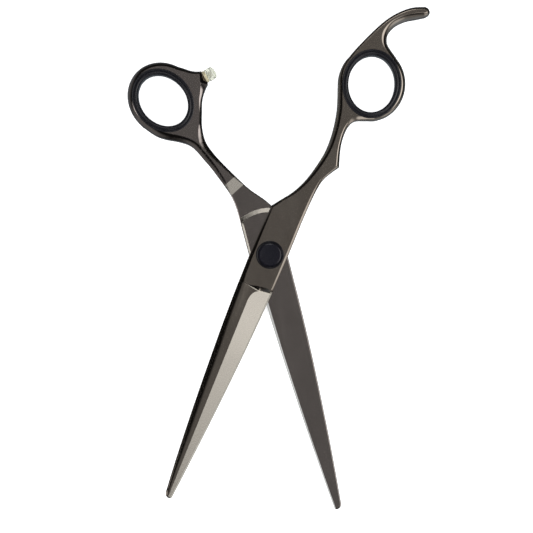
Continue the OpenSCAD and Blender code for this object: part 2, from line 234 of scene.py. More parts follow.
def rounding(loop, rules):
    """The five rounding numbers at each point of a loop."""
    step = np.linalg.norm(np.roll(loop, -1, 0) - loop, axis=1)
    along = np.concatenate([[0], np.cumsum(step)[:-1]])
    total = step.sum()
    at = []
    for rule in rules:
        k = int(np.argmin(((loop - np.array(rule[:2])) ** 2).sum(1)))
        at.append((along[k], rule[2:] + (0,) * (2 + INNER - len(rule))))
    at.sort(key=lambda r: r[0])
    s = np.array([a for a, _ in at])
    v = np.array([r for _, r in at], float)
    s = np.concatenate([[s[-1] - total], s, [s[0] + total]])
    v = np.concatenate([[v[-1]], v, [v[0]]])
    return np.stack([np.interp(along, s, v[:, i]) for i in range(v.shape[1])], 1)


def shared_sides(loop, shift, corner=20.0):
    """Each edge's inward direction, averaged with a neighbour's except at a corner."""
    side = left_of(np.roll(loop, -1, 0) - loop)
    other = np.roll(side, shift, 0)
    even = (side * other).sum(1) > math.cos(math.radians(corner))
    return unit(np.where(even[:, None], side + other, side))


class Loops:
    """The outline and holes of one half, with the rounding of its outer and inner sides."""

    def __init__(self):
        self.loops = []

    def add(self, loop, outer, inner, solid_inside):
        if (area_of(loop) > 0) != solid_inside:
            loop = loop[::-1]
        if isinstance(outer, list):
            numbers = np.concatenate([rounding(loop, outer), rounding(loop, inner)], 1)
        else:
            numbers = np.tile(np.concatenate([outer, inner]), (len(loop), 1))
        self.loops.append((loop, numbers))

    def done(self):
        """Lists the edges of all the loops. Each has two ends, a and b, with the rounding numbers
        and the direction into the metal there, shared with its neighbour except at a corner."""
        shapes = [loop for loop, _ in self.loops]
        numbers = [v for _, v in self.loops]
        self.outline_n = len(shapes[0])
        self.a = np.concatenate(shapes)
        self.b = np.concatenate([np.roll(loop, -1, 0) for loop in shapes])
        self.numbers_a = np.concatenate(numbers)
        self.numbers_b = np.concatenate([np.roll(v, -1, 0) for v in numbers])
        self.run = self.b - self.a
        self.size2 = (self.run ** 2).sum(1)
        self.away_a, self.away_b = (
            np.concatenate([shared_sides(loop, shift) for loop in shapes]) for shift in (1, -1))

    def nearest(self, points, part=None):
        """Distance to the edge, the direction away from it and the rounding numbers there. Part 0
        looks at the outline, part 1 at the holes, and no part at both."""
        first = self.outline_n if part == 1 else 0
        last = self.outline_n if part == 0 else len(self.a)
        ax, ay, rx, ry, size2 = (v[first:last].astype(np.float32) for v in (
            self.a[:, 0], self.a[:, 1], self.run[:, 0], self.run[:, 1], self.size2))
        picks = []
        for i in range(0, len(points), 1000):
            p = points[i:i + 1000].astype(np.float32)
            dx, dy = p[:, :1] - ax, p[:, 1:] - ay
            t = np.clip((dx * rx + dy * ry) / size2, 0, 1)
            dx -= t * rx
            dy -= t * ry
            picks.append((dx * dx + dy * dy).argmin(1))
        k = np.concatenate(picks) + first
        run = self.run[k]
        off = points - self.a[k]
        t = np.clip((off * run).sum(1) / self.size2[k], 0, 1)[:, None]
        off = off - t * run
        dist = np.linalg.norm(off, axis=1)
        away = unit(self.away_a[k] * (1 - t) + self.away_b[k] * t)
        return dist, away, self.numbers_a[k] * (1 - t) + self.numbers_b[k] * t

    def inside(self, points):
        """Whether each point is in the metal."""
        result = []
        for i in range(0, len(points), 4000):
            p = points[i:i + 4000]
            ya, yb = self.a[None, :, 1], self.b[None, :, 1]
            y = p[:, None, 1]
            cross = (ya > y) != (yb > y)
            with np.errstate(divide="ignore", invalid="ignore"):
                x = self.a[None, :, 0] + (y - ya) * self.run[None, :, 0] / (yb - ya)
            result.append(((cross & (p[:, None, 0] < x)).sum(1) % 2) == 1)
        return np.concatenate(result)


def rounding_drop(dist, numbers, base):
    """How far the surface is below its flat shape near the outline, and its slope inward."""
    width, round_part, soft_part, flat_part, edge = numbers.T
    width = np.maximum(width, 0.02)
    u = np.clip(1 - dist / width, 0, 0.9995)
    flat_part = flat_part + edge * (base - EDGE_Z)
    root = np.sqrt(1 - u * u)
    drop = round_part * (1 - root) + soft_part * u * u + flat_part * u
    slope = (round_part * u / root + 2 * soft_part * u + flat_part) / width
    return np.where(dist < width, drop, 0), np.where(dist < width, slope, 0)


# -------------------- faces of the two halves

SHOULDER_TOP = [(-9, -12.93), (-3.3, -12.93), (-1.5, -12.5), (0.5, -12.0), (3, -11.7), (9, -11.5)]
SHOULDER_LIP = [(-9, -12.94), (-3.3, -12.94), (-1, -13.2), (1, -13.4), (3, -13.25), (9, -12.6)]
SHOULDER_FOOT = [(-9, -12.95), (-3.3, -12.95), (-2.7, -13.15), (-1, -13.5), (1, -13.75), (3, -13.6),
                 (9, -12.95)]
BEVEL_TURN = [(BEVEL_X, -20), (-1.25, -17.6), (-0.85, -15.8), (0, -14.5), (1.1, -13.75)]
BEVEL_CURVE = np.concatenate([[(BEVEL_X, PAST_TIP_Y)], spread(BEVEL_TURN, 0.6)])
LIP_RISE = 0.03
CLIFF = 0.07

# Parts of the outer side, of the inner side, and the material slots of a half.
BLOCK, SHOULDER, LIP, FLAT, BEVEL, SEAT = range(6)
RIDE, BAND, RELIEVED, RAMP, HANDLE, RECESS, HOLLOW = range(7)
COATED, GROUND, HONED = range(3)


def line_y(line, x):
    p = np.array(line)
    return np.interp(x, p[:, 0], p[:, 1])


def smooth(t):
    t = np.clip(t, 0, 1)
    return t * t * (3 - 2 * t)


def blade_level(x, y):
    """The blade's flat, which dips below the block next to the shoulder."""
    taper = (HALF_T - TIP_T) / (BLADE_L + CHOIL_Y)
    dip = FLAT_DIP * smooth((x + 6.2) / 5.2) * smooth((y + 40) / 26)
    return HALF_T - dip - taper * np.clip(CHOIL_Y - y, 0, None)


def bevel_line_x(y):
    return np.interp(y, BEVEL_CURVE[:, 1], BEVEL_CURVE[:, 0])


def flat_corner(x, y):
    """How far the flat's corner under the shoulder drops to meet the bevel's curved line."""
    line = bevel_line_x(y)
    return BEVEL_SLOPE * (line - BEVEL_X) * np.clip((x - line + CLIFF) / CLIFF, 0, 1)


def outer_region(x, y, half):
    """Which part of the outer side each point is on. The block's part includes the handle."""
    region = np.full(len(x), BLOCK)
    region[y < line_y(SHOULDER_TOP, x)] = SHOULDER
    region[y < line_y(SHOULDER_LIP, x)] = LIP
    below = y < line_y(SHOULDER_FOOT, x)
    region[below] = FLAT
    region[below & (x > bevel_line_x(y))] = BEVEL
    region[np.hypot(x, y) < half["seat_r"]] = SEAT
    return region


def outer_base(x, y, region, half):
    """Height of the outer side before its edges are rounded."""
    top = line_y(SHOULDER_TOP, x)
    lip = line_y(SHOULDER_LIP, x)
    foot = line_y(SHOULDER_FOOT, x)
    low = blade_level(x, foot) - np.where(
        x > bevel_line_x(foot), BEVEL_SLOPE * (x - BEVEL_X), flat_corner(x, foot))
    lip_z = np.minimum(low + LIP_RISE, HALF_T)
    t = np.clip((top - y) / np.maximum(top - lip, 0.01), 0, 1)
    riser = HALF_T + (lip_z - HALF_T) * t
    t2 = np.clip((lip - y) / np.maximum(lip - foot, 0.01), 0, 1)
    rim = lip_z + (low - lip_z) * t2
    flat = blade_level(x, y) - flat_corner(x, y)
    bevel = blade_level(x, y) - BEVEL_SLOPE * (x - BEVEL_X)
    one = np.ones(len(x))
    return np.choose(region, [HALF_T * one, riser, rim, flat, bevel, half["seat_z"] * one])


def band_share(x, y):
    """0 on the raised ride and 1 past the bevel round it. The ride ends on an arc about the pivot
    and on a straight side, with a rounded corner between; the bevel's outer corner is sharp."""
    up = np.where(y > 0, np.hypot(x, y) - RIDE_R, -9.0)
    side = x - RIDE_X
    u, v = up + RIDE_ROUND, side + RIDE_ROUND
    out = np.where((u > 0) & (v > 0), np.hypot(u, v) - RIDE_ROUND, np.maximum(up, side))
    left = np.minimum(BAND_TOP - up, BAND_SIDE - side)
    share = out / np.maximum(out + left, 1e-6)
    return np.where(out <= 0, 0.0, np.where(left <= 0, 1.0, share))


def inner_region(x, y, half):
    """Which part of the inner side each point is on. The recess holds the glide washer."""
    share = band_share(x, y)
    region = np.where(share <= 0, RIDE, np.where(share < 1, BAND, RELIEVED))
    along = ramp_place(x, y, half)
    region[along > 0] = RAMP
    region[along > RAMP_L] = HANDLE
    region[np.hypot(x, y) < RECESS_R] = RECESS
    region[(region == RIDE) & (hollow_depth(x, y) > 0)] = HOLLOW
    return region


def ramp_place(x, y, half):
    """How far each point is up the ramp from its foot."""
    (fx, fy), angle = half["ramp"]
    return (x - fx) * math.cos(angle) + (y - fy) * math.sin(angle)


def hollow_depth(x, y):
    """Shallow hollow grind along the inner face, gone at the tip."""
    across = np.abs(x + 0.6 - 0.052 * (CHOIL_Y - 2 - y))
    deep = HOLLOW_DEPTH * np.clip((y + 94) / 79, 0, 1)
    shape = np.clip(1 - (across / HOLLOW_HALF_W) ** 2, 0, 1)
    ends = smooth((CHOIL_Y - 2 - y) / 12)
    return deep * shape * ends


def inner_base(x, y, region, half):
    """Height of the inner side before its edges are rounded."""
    band = RIDE_GAP + (RELIEF - RIDE_GAP) * band_share(x, y)
    ramp = RELIEF - (RELIEF + HALF_T) * np.clip(ramp_place(x, y, half) / RAMP_L, 0, 1)
    hollow = RIDE_GAP + hollow_depth(x, y)
    one = np.ones(len(x))
    return np.choose(region, [
        RIDE_GAP * one, band, RELIEF * one, ramp, -HALF_T * one, RECESS_DEPTH * one, hollow])


def band_lines():
    """The two lines of the bevel round the raised ride, and the mitre at its outer corner."""
    lines = []
    for grow_r, grow_x in ((0, 0), (BAND_TOP, BAND_SIDE)):
        r, x = RIDE_R + grow_r, RIDE_X + grow_x
        top = math.sqrt(r * r - x * x)
        stop = math.asin(x / r)
        lines.append(np.array([(x, y) for y in np.arange(CHOIL_Y, top, 0.8)] + [(x, top)]))
        turns = np.linspace(-0.62, stop, 34)
        lines.append(np.array([(r * math.sin(a), r * math.cos(a)) for a in turns]))
    lines[0] = lines[0][lines[0][:, 1] < lines[0][-1, 1] - RIDE_ROUND]
    lines[1] = lines[1][lines[1][:, 0] < RIDE_X - RIDE_ROUND]
    # The mitre bows in a little towards the pivot.
    start, end = lines[1][-1], lines[0][-1]
    middle = np.array([RIDE_X - 0.37, math.sqrt(RIDE_R ** 2 - RIDE_X ** 2) - 0.27])
    lines.append(spread([start, middle, end], 0.3))
    return lines


def feature_lines(half):
    """Lines where a surface has a crease, as point lists."""
    lines = []
    for line in (SHOULDER_TOP, SHOULDER_LIP, SHOULDER_FOOT):
        x = spread(line, 0.5)[:, 0]
        lines.append(np.stack([x, line_y(line, x)], 1))
    lines.append(np.array([(BEVEL_X, y) for y in np.arange(PAST_TIP_Y, BEVEL_TURN[0][1], 0.7)]))
    lines.append(BEVEL_CURVE[1:])
    lines.append(BEVEL_CURVE[BEVEL_CURVE[:, 0] > BEVEL_X + 0.02] - (CLIFF, 0))
    for x in (BEVEL_TURN[-1][0], BEVEL_TURN[-1][0] - CLIFF):
        heights = np.linspace(line_y(SHOULDER_FOOT, x), line_y(SHOULDER_TOP, x), 5)
        lines.append(np.array([(x, y) for y in heights]))
    lines += band_lines()
    (fx, fy), angle = half["ramp"]
    across = np.array([-math.sin(angle), math.cos(angle)])
    for d in (0.0, RAMP_L):
        foot = np.array([fx, fy]) + d * np.array([math.cos(angle), math.sin(angle)])
        lines.append(np.array([foot + across * t for t in np.arange(-12, 12.1, 0.6)]))
    for r in (half["seat_r"] - 0.01, half["seat_r"] + 0.01, RECESS_R - 0.01, RECESS_R + 0.01):
        ring = circle(r, 96)
        lines.append(np.concatenate([ring, ring[:1]]))
    return lines


# Distances in from an outline or hole at which the mesh has rows of points.
RINGS = (0.04, 0.1, 0.18, 0.28, 0.42, 0.6, 0.82, 1.1, 1.42, 1.8, 2.25, 2.8, 3.4)


def flat_mesh(loops, half):
    """Triangles of one half in the plane: its outline, rings inside it and its crease lines."""
    points, edges = [], []

    def add_line(line, closed):
        start = len(points)
        points.extend(line)
        edges.extend((start + i, start + i + 1) for i in range(len(line) - 1))
        if closed:
            edges.append((start + len(line) - 1, start))

    for loop, _ in loops.loops:
        add_line(loop, True)
    lines = feature_lines(half)
    for line in lines:
        add_line(line, False)
    crease = np.concatenate(lines)
    extra = []
    for rank, (loop, numbers) in enumerate(loops.loops):
        inward = left_of(np.roll(loop, -1, 0) - np.roll(loop, 1, 0))
        widths = np.maximum(numbers[:, 0], numbers[:, INNER])
        for r in RINGS:
            use = widths > r + 0.03
            extra.append((loop + inward * r)[use])
        for column in (0, INNER):
            width = numbers[:, column]
            ring = loop + inward * width[:, None]
            dist = loops.nearest(ring, min(rank, 1))[0]
            good = (dist > 0.97 * width) & loops.inside(ring) & (width > 0.05)
            start, n = len(points), len(ring)
            points.extend(np.where(good[:, None], ring, loop))
            edges.extend((start + i, start + (i + 1) % n)
                         for i in range(n) if good[i] and good[(i + 1) % n])
    extra = np.concatenate(extra)
    # A loose grid over the blade, where the rings don't reach.
    gx, gy = np.meshgrid(np.arange(-4, 4.1, 0.55), np.arange(-94, -14, 2.0))
    extra = np.concatenate([extra, np.stack([gx.ravel(), gy.ravel()], 1)])
    extra = extra[loops.inside(extra) & (loops.nearest(extra)[0] > 0.03)]
    # Extra points that are nearly on a crease would only make thin triangles.
    far = np.ones(len(extra), bool)
    for i in range(0, len(crease), 500):
        c = crease[i:i + 500]
        far &= ((extra[:, None] - c[None]) ** 2).sum(2).min(1) >= 0.1 ** 2
    points.extend(extra[far])
    return triangles_between(points, edges, loops)


def triangles_between(points, edges, loops):
    """Triangles that keep the given edges, where they are in the metal, all turned face up."""
    verts, _, faces, _, _, _ = delaunay_2d_cdt(
        [Vector((float(p[0]), float(p[1]))) for p in points], edges, [], 0, 1e-5)
    verts = np.array([[v.x, v.y] for v in verts])
    faces = np.array([f for f in faces if len(f) == 3])
    a, b, c = verts[faces[:, 0]], verts[faces[:, 1]], verts[faces[:, 2]]
    area = 0.5 * ((b - a)[:, 0] * (c - a)[:, 1] - (b - a)[:, 1] * (c - a)[:, 0])
    faces[area < 0] = faces[area < 0][:, ::-1]
    faces = faces[loops.inside((a + b + c) / 3) & (np.abs(area) > 1e-8)]
    used = np.unique(faces)
    index = np.full(len(verts), -1)
    index[used] = np.arange(len(used))
    return verts[used], index[faces]


def surface(points, near, region, half, outer):
    """Height of the outer or inner side at points with its edges rounded, and the slope along x
    and y that the rounding adds. It falls towards the outline and towards the holes."""
    base_of = outer_base if outer else inner_base
    base = base_of(points[:, 0], points[:, 1], region, half)
    sign = 1 if outer else -1
    height, tilt = base, 0
    for dist, away, numbers in near:
        drop, slope = rounding_drop(dist, numbers[:, :INNER] if outer else numbers[:, INNER:], base)
        height = height - sign * drop
        tilt = tilt + sign * slope[:, None] * away
    return height, tilt


def side_normals(p, centres, near, half, outer):
    """Unit normals at points p of faces with the given centres, which say the part they are on."""
    pick = outer_region if outer else inner_region
    base_of = outer_base if outer else inner_base
    region = pick(centres[:, 0], centres[:, 1], half)
    step = 1e-3

    def slope(dx, dy):
        ahead = base_of(p[:, 0] + dx, p[:, 1] + dy, region, half)
        return (ahead - base_of(p[:, 0] - dx, p[:, 1] - dy, region, half)) / (2 * step)

    _, tilt = surface(p, near, region, half, outer)
    n = np.stack([-slope(step, 0) - tilt[:, 0], -slope(0, step) - tilt[:, 1], np.ones(len(p))], 1)
    return unit(n if outer else -n)


def wall_normals(verts, rim):
    """Normals of the thin walls along the rim, smooth where they meet at a slight turn."""
    follow = dict(rim)
    before = {b: a for a, b in rim}

    def face_out(a, b):
        d = verts[b] - verts[a]
        v = np.array([d[1], -d[0], 0.0])
        return v / max(np.linalg.norm(v), 1e-9)

    normals = []
    for a, b in rim:
        own = face_out(a, b)
        ends = []
        for other in ((before[a], a), (b, follow[b])):
            v = face_out(*other)
            ends.append(own if own @ v < math.cos(math.radians(28)) else own + v)
        at_a, at_b = (e / np.linalg.norm(e) for e in ends)
        normals += [at_b, at_a, at_a, at_b]
    return np.array(normals)


def side_slots(centres, loops, half):
    """Material slots of the outer and inner faces. The shoulder's lip is as bright as the edges."""
    x, y = centres[:, 0], centres[:, 1]
    out_region = outer_region(x, y, half)
    outer = np.where(out_region == BEVEL, GROUND, np.where(out_region == LIP, HONED, COATED))
    inner = np.where(np.isin(inner_region(x, y, half), (BAND, RAMP)), GROUND, COATED)
    dist, _, numbers = loops.nearest(centres, 0)
    on_edge = numbers[:, EDGE] > 0.5
    outer[on_edge & (dist < numbers[:, 0])] = HONED
    inner[on_edge & (dist < numbers[:, INNER])] = HONED
    return outer, inner


def add_object(name, data):
    thing = bpy.data.objects.new(name, data)
    bpy.context.scene.collection.objects.link(thing)
    return thing


def build_half(name, half, materials):
    """One half of the shears as a closed mesh with exact normals."""
    loops = half["loops"]
    verts, faces = flat_mesh(loops, half)
    near = [loops.nearest(verts, part) for part in (0, 1)]
    x, y = verts[:, 0], verts[:, 1]
    z_out, _ = surface(verts, near, outer_region(x, y, half), half, True)
    z_in, _ = surface(verts, near, inner_region(x, y, half), half, False)
    z_in = np.minimum(z_in, z_out - 0.02)
    n = len(verts)
    points = np.concatenate([np.column_stack([verts, z_out]), np.column_stack([verts, z_in])])

    sides = [(f[i], f[(i + 1) % 3]) for f in faces for i in range(3)]
    shared = set(sides)
    rim = [(a, b) for a, b in sides if (b, a) not in shared]
    walls = [(b, a, a + n, b + n) for a, b in rim]

    centres = verts[faces].mean(1)
    corner_centres = np.repeat(centres, 3, 0)
    corners = verts[faces].reshape(-1, 2)
    # Normals are taken just inside each face, so that every face keeps its own side of a crease.
    corners = corners + 0.03 * (corner_centres - corners)
    near = [loops.nearest(corners, part) for part in (0, 1)]
    out_n = side_normals(corners, corner_centres, near, half, True)
    in_n = side_normals(corners, corner_centres, near, half, False)
    in_n = in_n.reshape(-1, 3, 3)[:, ::-1].reshape(-1, 3)
    normals = np.concatenate([out_n, in_n, wall_normals(verts, rim)])
    slots = [*side_slots(centres, loops, half), np.full(len(walls), COATED)]

    world = half["to_world"]
    all_faces = faces.tolist() + (faces[:, ::-1] + n).tolist() + np.array(walls).tolist()
    mesh = bpy.data.meshes.new(name)
    mesh.from_pydata(world(points, True).tolist(), [], all_faces)
    for m in materials:
        mesh.materials.append(m)
    mesh.polygons.foreach_set("material_index", np.concatenate(slots))
    mesh.polygons.foreach_set("use_smooth", np.ones(len(all_faces), bool))
    mesh.update()
    mesh.normals_split_custom_set(world(normals, False).tolist())
    return add_object(name, mesh)


# Rounding rules of the two halves. The thumb half's x is mirrored into the edge frame.
THIN = (0.3, 0.05, 0, 0.1)
LEDGE = (0.85, 0.04, 0, 0.31)
SPINE = (3.1, 0.05, 0.55)
RING_EDGE = (1.5, 1.2, 0.3)
BLADE_OUT = [
    (5.97, -11.4, 0.8, 0.05, 0, 0.3), (5.95, -13.2, 0.55, 0, 0, 0, 1), (0.6, -90, 0.6, 0, 0, 0, 1),
    (0.1, -94.6, 0.5, 0, 0, 0, 1), (-0.4, -95.5, 0.4, 0.1, 0, 0.2, 0.3),
    (-1.5, -95.5, 0.6, 0.15, 0.2, 0.05), (-2.8, -93.8, 1.1, 0.06, 0.25),
]
FINGER_OUT = BLADE_OUT + [
    (6.25, 2) + LEDGE, (6.4, 20) + LEDGE, (6.9, 28, 0.85, 0.1, 0, 0.31), (9.2, 35.3, 0.9, 0.5, 0, 0.3),
    (11.4, 38.8, 1.2, 0.9, 0.1, 0.2), (8.9, 47.5, 1, 1, 0.1), (9.1, 54.3, 1.1, 0.6, 0.1, 0.3),
    (9.9, 55.6, 1.4, 0.3, 0, 0.75), (10.9, 56.7, 1.5, 0.3, 0, 0.85), (13.4, 57.8, 1.4, 0.3, 0, 0.85),
    (16.6, 59.1, 1.3, 0.6, 0.1, 0.5), (19.5, 66) + RING_EDGE, (17, 80.5) + RING_EDGE,
    (12, 85.6, 1.6, 1, 0.4), (9.8, 89.8, 2.2, 1, 0.6), (11.2, 94, 3, 0.9, 1.3),
    (17, 98.9, 2.6, 1, 1.2), (20.7, 102, 1.4, 1.2, 0.3), (18.5, 104.4, 1.1, 1.2, 0.1),
    (7.5, 95.2, 0.9, 0.9, 0.1), (1.9, 83.3, 0.8, 0.8, 0.1), (-0.9, 73.5, 1, 0.8, 0.2),
    (0.2, 66, 1.9, 0.9, 0.6), (2.8, 57.5, 2.1, 0.9, 0.7), (4.6, 45.5, 2, 0.9, 0.7),
    (3.6, 36.5, 1.7, 0.8, 0.5), (1.1, 28, 1.3, 0.7, 0.3), (-4, 19.8, 0.9, 0.4, 0.3, 0.1),
    (-6.2, 16.7, 0.8, 0.1, 0.1, 0.4), (-6.6, 8, 1.1, 0.1, 0.2, 0.3), (-6.8, -10, 1.5, 0.1, 0.3, 0.2),
    (-6.85, -17) + SPINE, (-6.05, -43) + SPINE, (-4.65, -70, 2.5, 0.05, 0.42),
]
FINGER_IN = [
    (5.95, -13, 0.6, 0, 0, 0.02), (0.1, -94.8, 0.4, 0, 0, 0.02), (-2.8, -93.8) + THIN,
    (-6.85, -14) + THIN, (-6.2, 16.7) + THIN, (-1, 23.9) + THIN, (2.5, 32, 1.3, 1.1, 0.2),
    (4.6, 45.5, 1.6, 1.2, 0.3), (-0.9, 73.5, 1.2, 1.1, 0.2), (7.5, 95.2, 1.2, 1.1, 0.2),
    (18.5, 104.4, 1.2, 1.2, 0.1), (17, 98.9, 1.6, 1.3, 0.2), (9.8, 89.8, 1.5, 1.2, 0.3),
    (17, 80.5) + RING_EDGE, (19.5, 66) + RING_EDGE, (9.4, 55, 1.3, 1.1, 0.2),
    (11.4, 38.8, 1.1, 0.9, 0.1, 0.1), (8.2, 33.5, 1, 0.9, 0.1, 0.1), (6.7, 26) + THIN, (6.25, 2) + THIN,
    (5.97, -11.8) + THIN,
]
THUMB_OUT = BLADE_OUT + [
    (6.9, -6, 0.8, 0.1, 0, 0.45), (7.45, 11, 0.85, 0.1, 0, 0.5), (8.3, 24, 0.9, 0.3, 0.1, 0.4),
    (11.3, 32, 1.2, 0.8, 0.2, 0.1), (15, 40, 1.4, 1, 0.3), (22.9, 48.3, 1.7, 1.1, 0.4),
    (33, 56, 1.6, 1.2, 0.3), (34, 72) + RING_EDGE, (25, 79) + RING_EDGE, (14, 73.4, 1.1, 1, 0.1),
    (8.3, 70.6, 0.8, 0.7), (7.2, 68.3, 0.5, 0.4), (7.2, 64.8, 1, 0.9, 0.1), (12.4, 51, 1.2, 1, 0.2),
    (11, 41.3, 1.4, 1, 0.3), (6.3, 32.7, 1.4, 0.9, 0.3), (0.9, 24.5, 1.2, 0.6, 0.2, 0.1),
    (-5.1, 17, 0.9, 0.2, 0.2, 0.3), (-6.2, 8, 1, 0.1, 0.2, 0.3), (-6.2, -14, 2, 0.1, 0.45),
    (-5.7, -43, 2, 0.1, 0.4), (-4.45, -70, 1.7, 0.1, 0.3),
]
THUMB_IN = [
    (5.95, -13, 0.9, 0, 0, 0.03), (0.1, -94.8, 0.45, 0, 0, 0.02), (-0.6, -95.5, 0.2, 0, 0, 0.05),
    (-2.8, -93.8, 0.35, 0.1, 0, 0.1), (-6.2, -14, 0.4, 0.1, 0, 0.12), (-5.1, 17) + THIN,
    (0.9, 24.5) + THIN, (3, 27.4, 0.3, 0.1, 0, 0.1), (4.8, 30.2, 0.9, 0.35, 0, 0.04),
    (8.8, 37, 1.2, 0.4, 0, 0.12), (11, 41.3, 1.7, 0.6, 0.1, 0.3), (12.5, 45.8, 2.2, 0.75, 0, 0.42),
    (12.5, 49, 1.7, 0.7, 0, 0.25), (12.2, 52, 0.8, 0.2, 0, 0.42), (11.2, 56, 0.8, 0.2, 0, 0.4),
    (10.4, 58.8, 0.9, 0.3, 0, 0.32), (9.2, 62.3, 1.2, 0.35, 0, 0.32), (8.4, 63.6, 1.6, 0.3, 0, 0.6),
    (7.6, 65, 2.2, 0.2, 0, 1.25), (6.7, 67.5, 2.2, 0.2, 0, 1.25), (7.3, 69.6, 1.2, 0.4, 0, 0.5),
    (8.3, 70.6, 0.9, 0.6, 0, 0.3), (14, 73.4, 1.2, 0.6, 0, 0.45), (25, 79, 1.6, 1, 0, 0.6),
    (34, 72, 1.8, 1, 0, 0.7), (33, 56, 2.2, 1, 0.2, 0.5), (26.4, 49.9, 2.4, 0.9, 0.3, 0.4),
    (19.6, 46.5, 2.6, 0.8, 0.6, 0.1), (15, 40, 2.2, 0.5, 0.2, 0.35), (11.3, 32, 1.6, 0.3, 0.1, 0.35),
    (10.3, 29.7, 1.4, 0.2, 0, 0.35), (9.5, 27.4, 0.9, 0.2, 0, 0.3), (8.6, 25) + THIN, (7.6, 19) + THIN,
    (7.4, 12, 0.15, 0, 0, 0.03), (6.9, -6, 0.15, 0, 0, 0.03), (5.97, -12.2, 0.3, 0, 0, 0.03),
]
HOLE_EDGE = (0.9, 0.1, 0.05, 0, 0)
BORE_EDGE = (0.12, 0, 0, 0.08, 0)


def half_loops(outline, hole, bore_r, outer, inner):
    """A half's outline, ring hole and pivot bore with their rounding."""
    loops = Loops()
    loops.add(curve_through(outline, 0.5), outer, inner, True)
    loops.add(curve_through(hole, 0.5), HOLE_EDGE, HOLE_EDGE, False)
    loops.add(circle(bore_r, 72), BORE_EDGE, BORE_EDGE, False)
    loops.done()
    return loops


# A half's ramp is the place of its foot and its direction. Its seat is the counterbore in the
# outer side, for the bearing in the finger half and for the bolt's head in the thumb half.
# to_world moves points to their place in metres, or only turns directions.

def make_finger():
    def to_world(v, place):
        xy = turned(v[:, :2], FINGER_TURN)
        z = v[:, 2] + (RIDE_Z if place else 0)
        return np.column_stack([xy, z]) * (MM if place else 1)

    outline, hole = half_outline("finger_half", 1, lambda loop: turned(loop, -FINGER_TURN))
    return {"loops": half_loops(outline, hole, FINGER_BORE_R, FINGER_OUT, FINGER_IN),
            "to_world": to_world, "ramp": ((3.3, 26), math.radians(72)),
            "seat_r": 4.2, "seat_z": 1.2}


def make_thumb():
    def to_world(v, place):
        xy = turned(np.column_stack([-v[:, 0], v[:, 1]]), THUMB_TURN)
        z = (RIDE_Z if place else 0) - v[:, 2]
        return np.column_stack([xy, z]) * (MM if place else 1)

    def to_edge(loop):
        return turned(loop, -THUMB_TURN) * np.array([-1, 1])

    outline, hole = half_outline("thumb_half", -1, to_edge)
    return {"loops": half_loops(outline, hole, THUMB_BORE_R, THUMB_OUT, THUMB_IN),
            "to_world": to_world, "ramp": ((5.5, 25.8), math.radians(62.4)),
            "seat_r": 4.1, "seat_z": 1.6}


# -------------------- materials

def new_material(name):
    m = bpy.data.materials.new(name)
    m.use_nodes = True
    tree = m.node_tree
    return m, tree, tree.nodes["Principled BSDF"]


def set_inputs(tree, n, inputs):
    """Gives a node's inputs their values. A value that is another node's output is linked."""
    for key, value in inputs.items():
        if isinstance(value, bpy.types.NodeSocket):
            tree.links.new(value, n.inputs[key])
        else:
            n.inputs[key].default_value = value


def node(tree, kind, inputs, **settings):
    n = tree.nodes.new(kind)
    for key, value in settings.items():
        setattr(n, key, value)
    set_inputs(tree, n, inputs)
    return n


def stretched_noise(tree, angle, scale, detail=4.0):
    """Noise drawn out along one direction, in object space, as fine grinding lines."""
    coords = node(tree, "ShaderNodeTexCoord", {})
    mapping = node(tree, "ShaderNodeMapping", {
        "Vector": coords.outputs["Object"], "Rotation": (0, 0, angle), "Scale": scale})
    noise = node(tree, "ShaderNodeTexNoise", {
        "Vector": mapping.outputs["Vector"], "Scale": 1.0, "Detail": detail, "Roughness": 0.6})
    return noise.outputs["Fac"]


def even_noise(tree, scale, detail):
    return stretched_noise(tree, 0, (scale, scale, scale), detail)


# Nearly all of a noise texture's values lie between these two.
NOISE_LOW, NOISE_HIGH = 0.3, 0.7


def map_range(tree, source, low, high, new_low, new_high, **settings):
    inputs = {"Value": source, "From Min": low, "From Max": high, "To Min": new_low, "To Max": new_high}
    return node(tree, "ShaderNodeMapRange", inputs, **settings).outputs["Result"]


def spread_value(tree, source, low, high):
    return map_range(tree, source, NOISE_LOW, NOISE_HIGH, low, high)


def spread_colour(tree, source, low, high, low_end=NOISE_LOW, high_end=NOISE_HIGH):
    ramp = node(tree, "ShaderNodeValToRGB", {"Fac": source})
    for end, place, colour in zip(ramp.color_ramp.elements, (low_end, high_end), (low, high)):
        end.position = place
        end.color = (*colour, 1)
    return ramp.outputs["Color"]


def bumped(tree, source, strength, distance=0.00002):
    """A normal that follows the source's height, over a distance in metres."""
    inputs = {"Height": source, "Strength": strength, "Distance": distance}
    return node(tree, "ShaderNodeBump", inputs).outputs["Normal"]


def ground_metal(name, angle, low, high, rough, scale=(9000, 350, 3000), bump=0.08, metallic=1.0,
                 streaks=False):
    """Metal with grinding lines along one direction. Its tone follows a slow cloudiness, or the
    lines themselves if it has streaks."""
    m, tree, shader = new_material(name)
    lines = stretched_noise(tree, angle, scale)
    cloud = lines if streaks else stretched_noise(tree, angle, (160, 60, 160), 2.0)
    set_inputs(tree, shader, {
        "Metallic": metallic, "Base Color": spread_colour(tree, cloud, low, high),
        "Roughness": spread_value(tree, lines, *rough), "Normal": bumped(tree, lines, bump)})
    return m


def rubber_material(name):
    m, tree, shader = new_material(name)
    grain = even_noise(tree, 5200, 3.0)
    cloud = even_noise(tree, 220, 2.0)
    set_inputs(tree, shader, {
        "Base Color": spread_colour(tree, cloud, (0.004, 0.004, 0.006), (0.007, 0.007, 0.01)),
        "Roughness": spread_value(tree, grain, 0.22, 0.32), "Specular IOR Level": 0.45,
        "Normal": bumped(tree, grain, 0.15, 0.00003)})
    return m


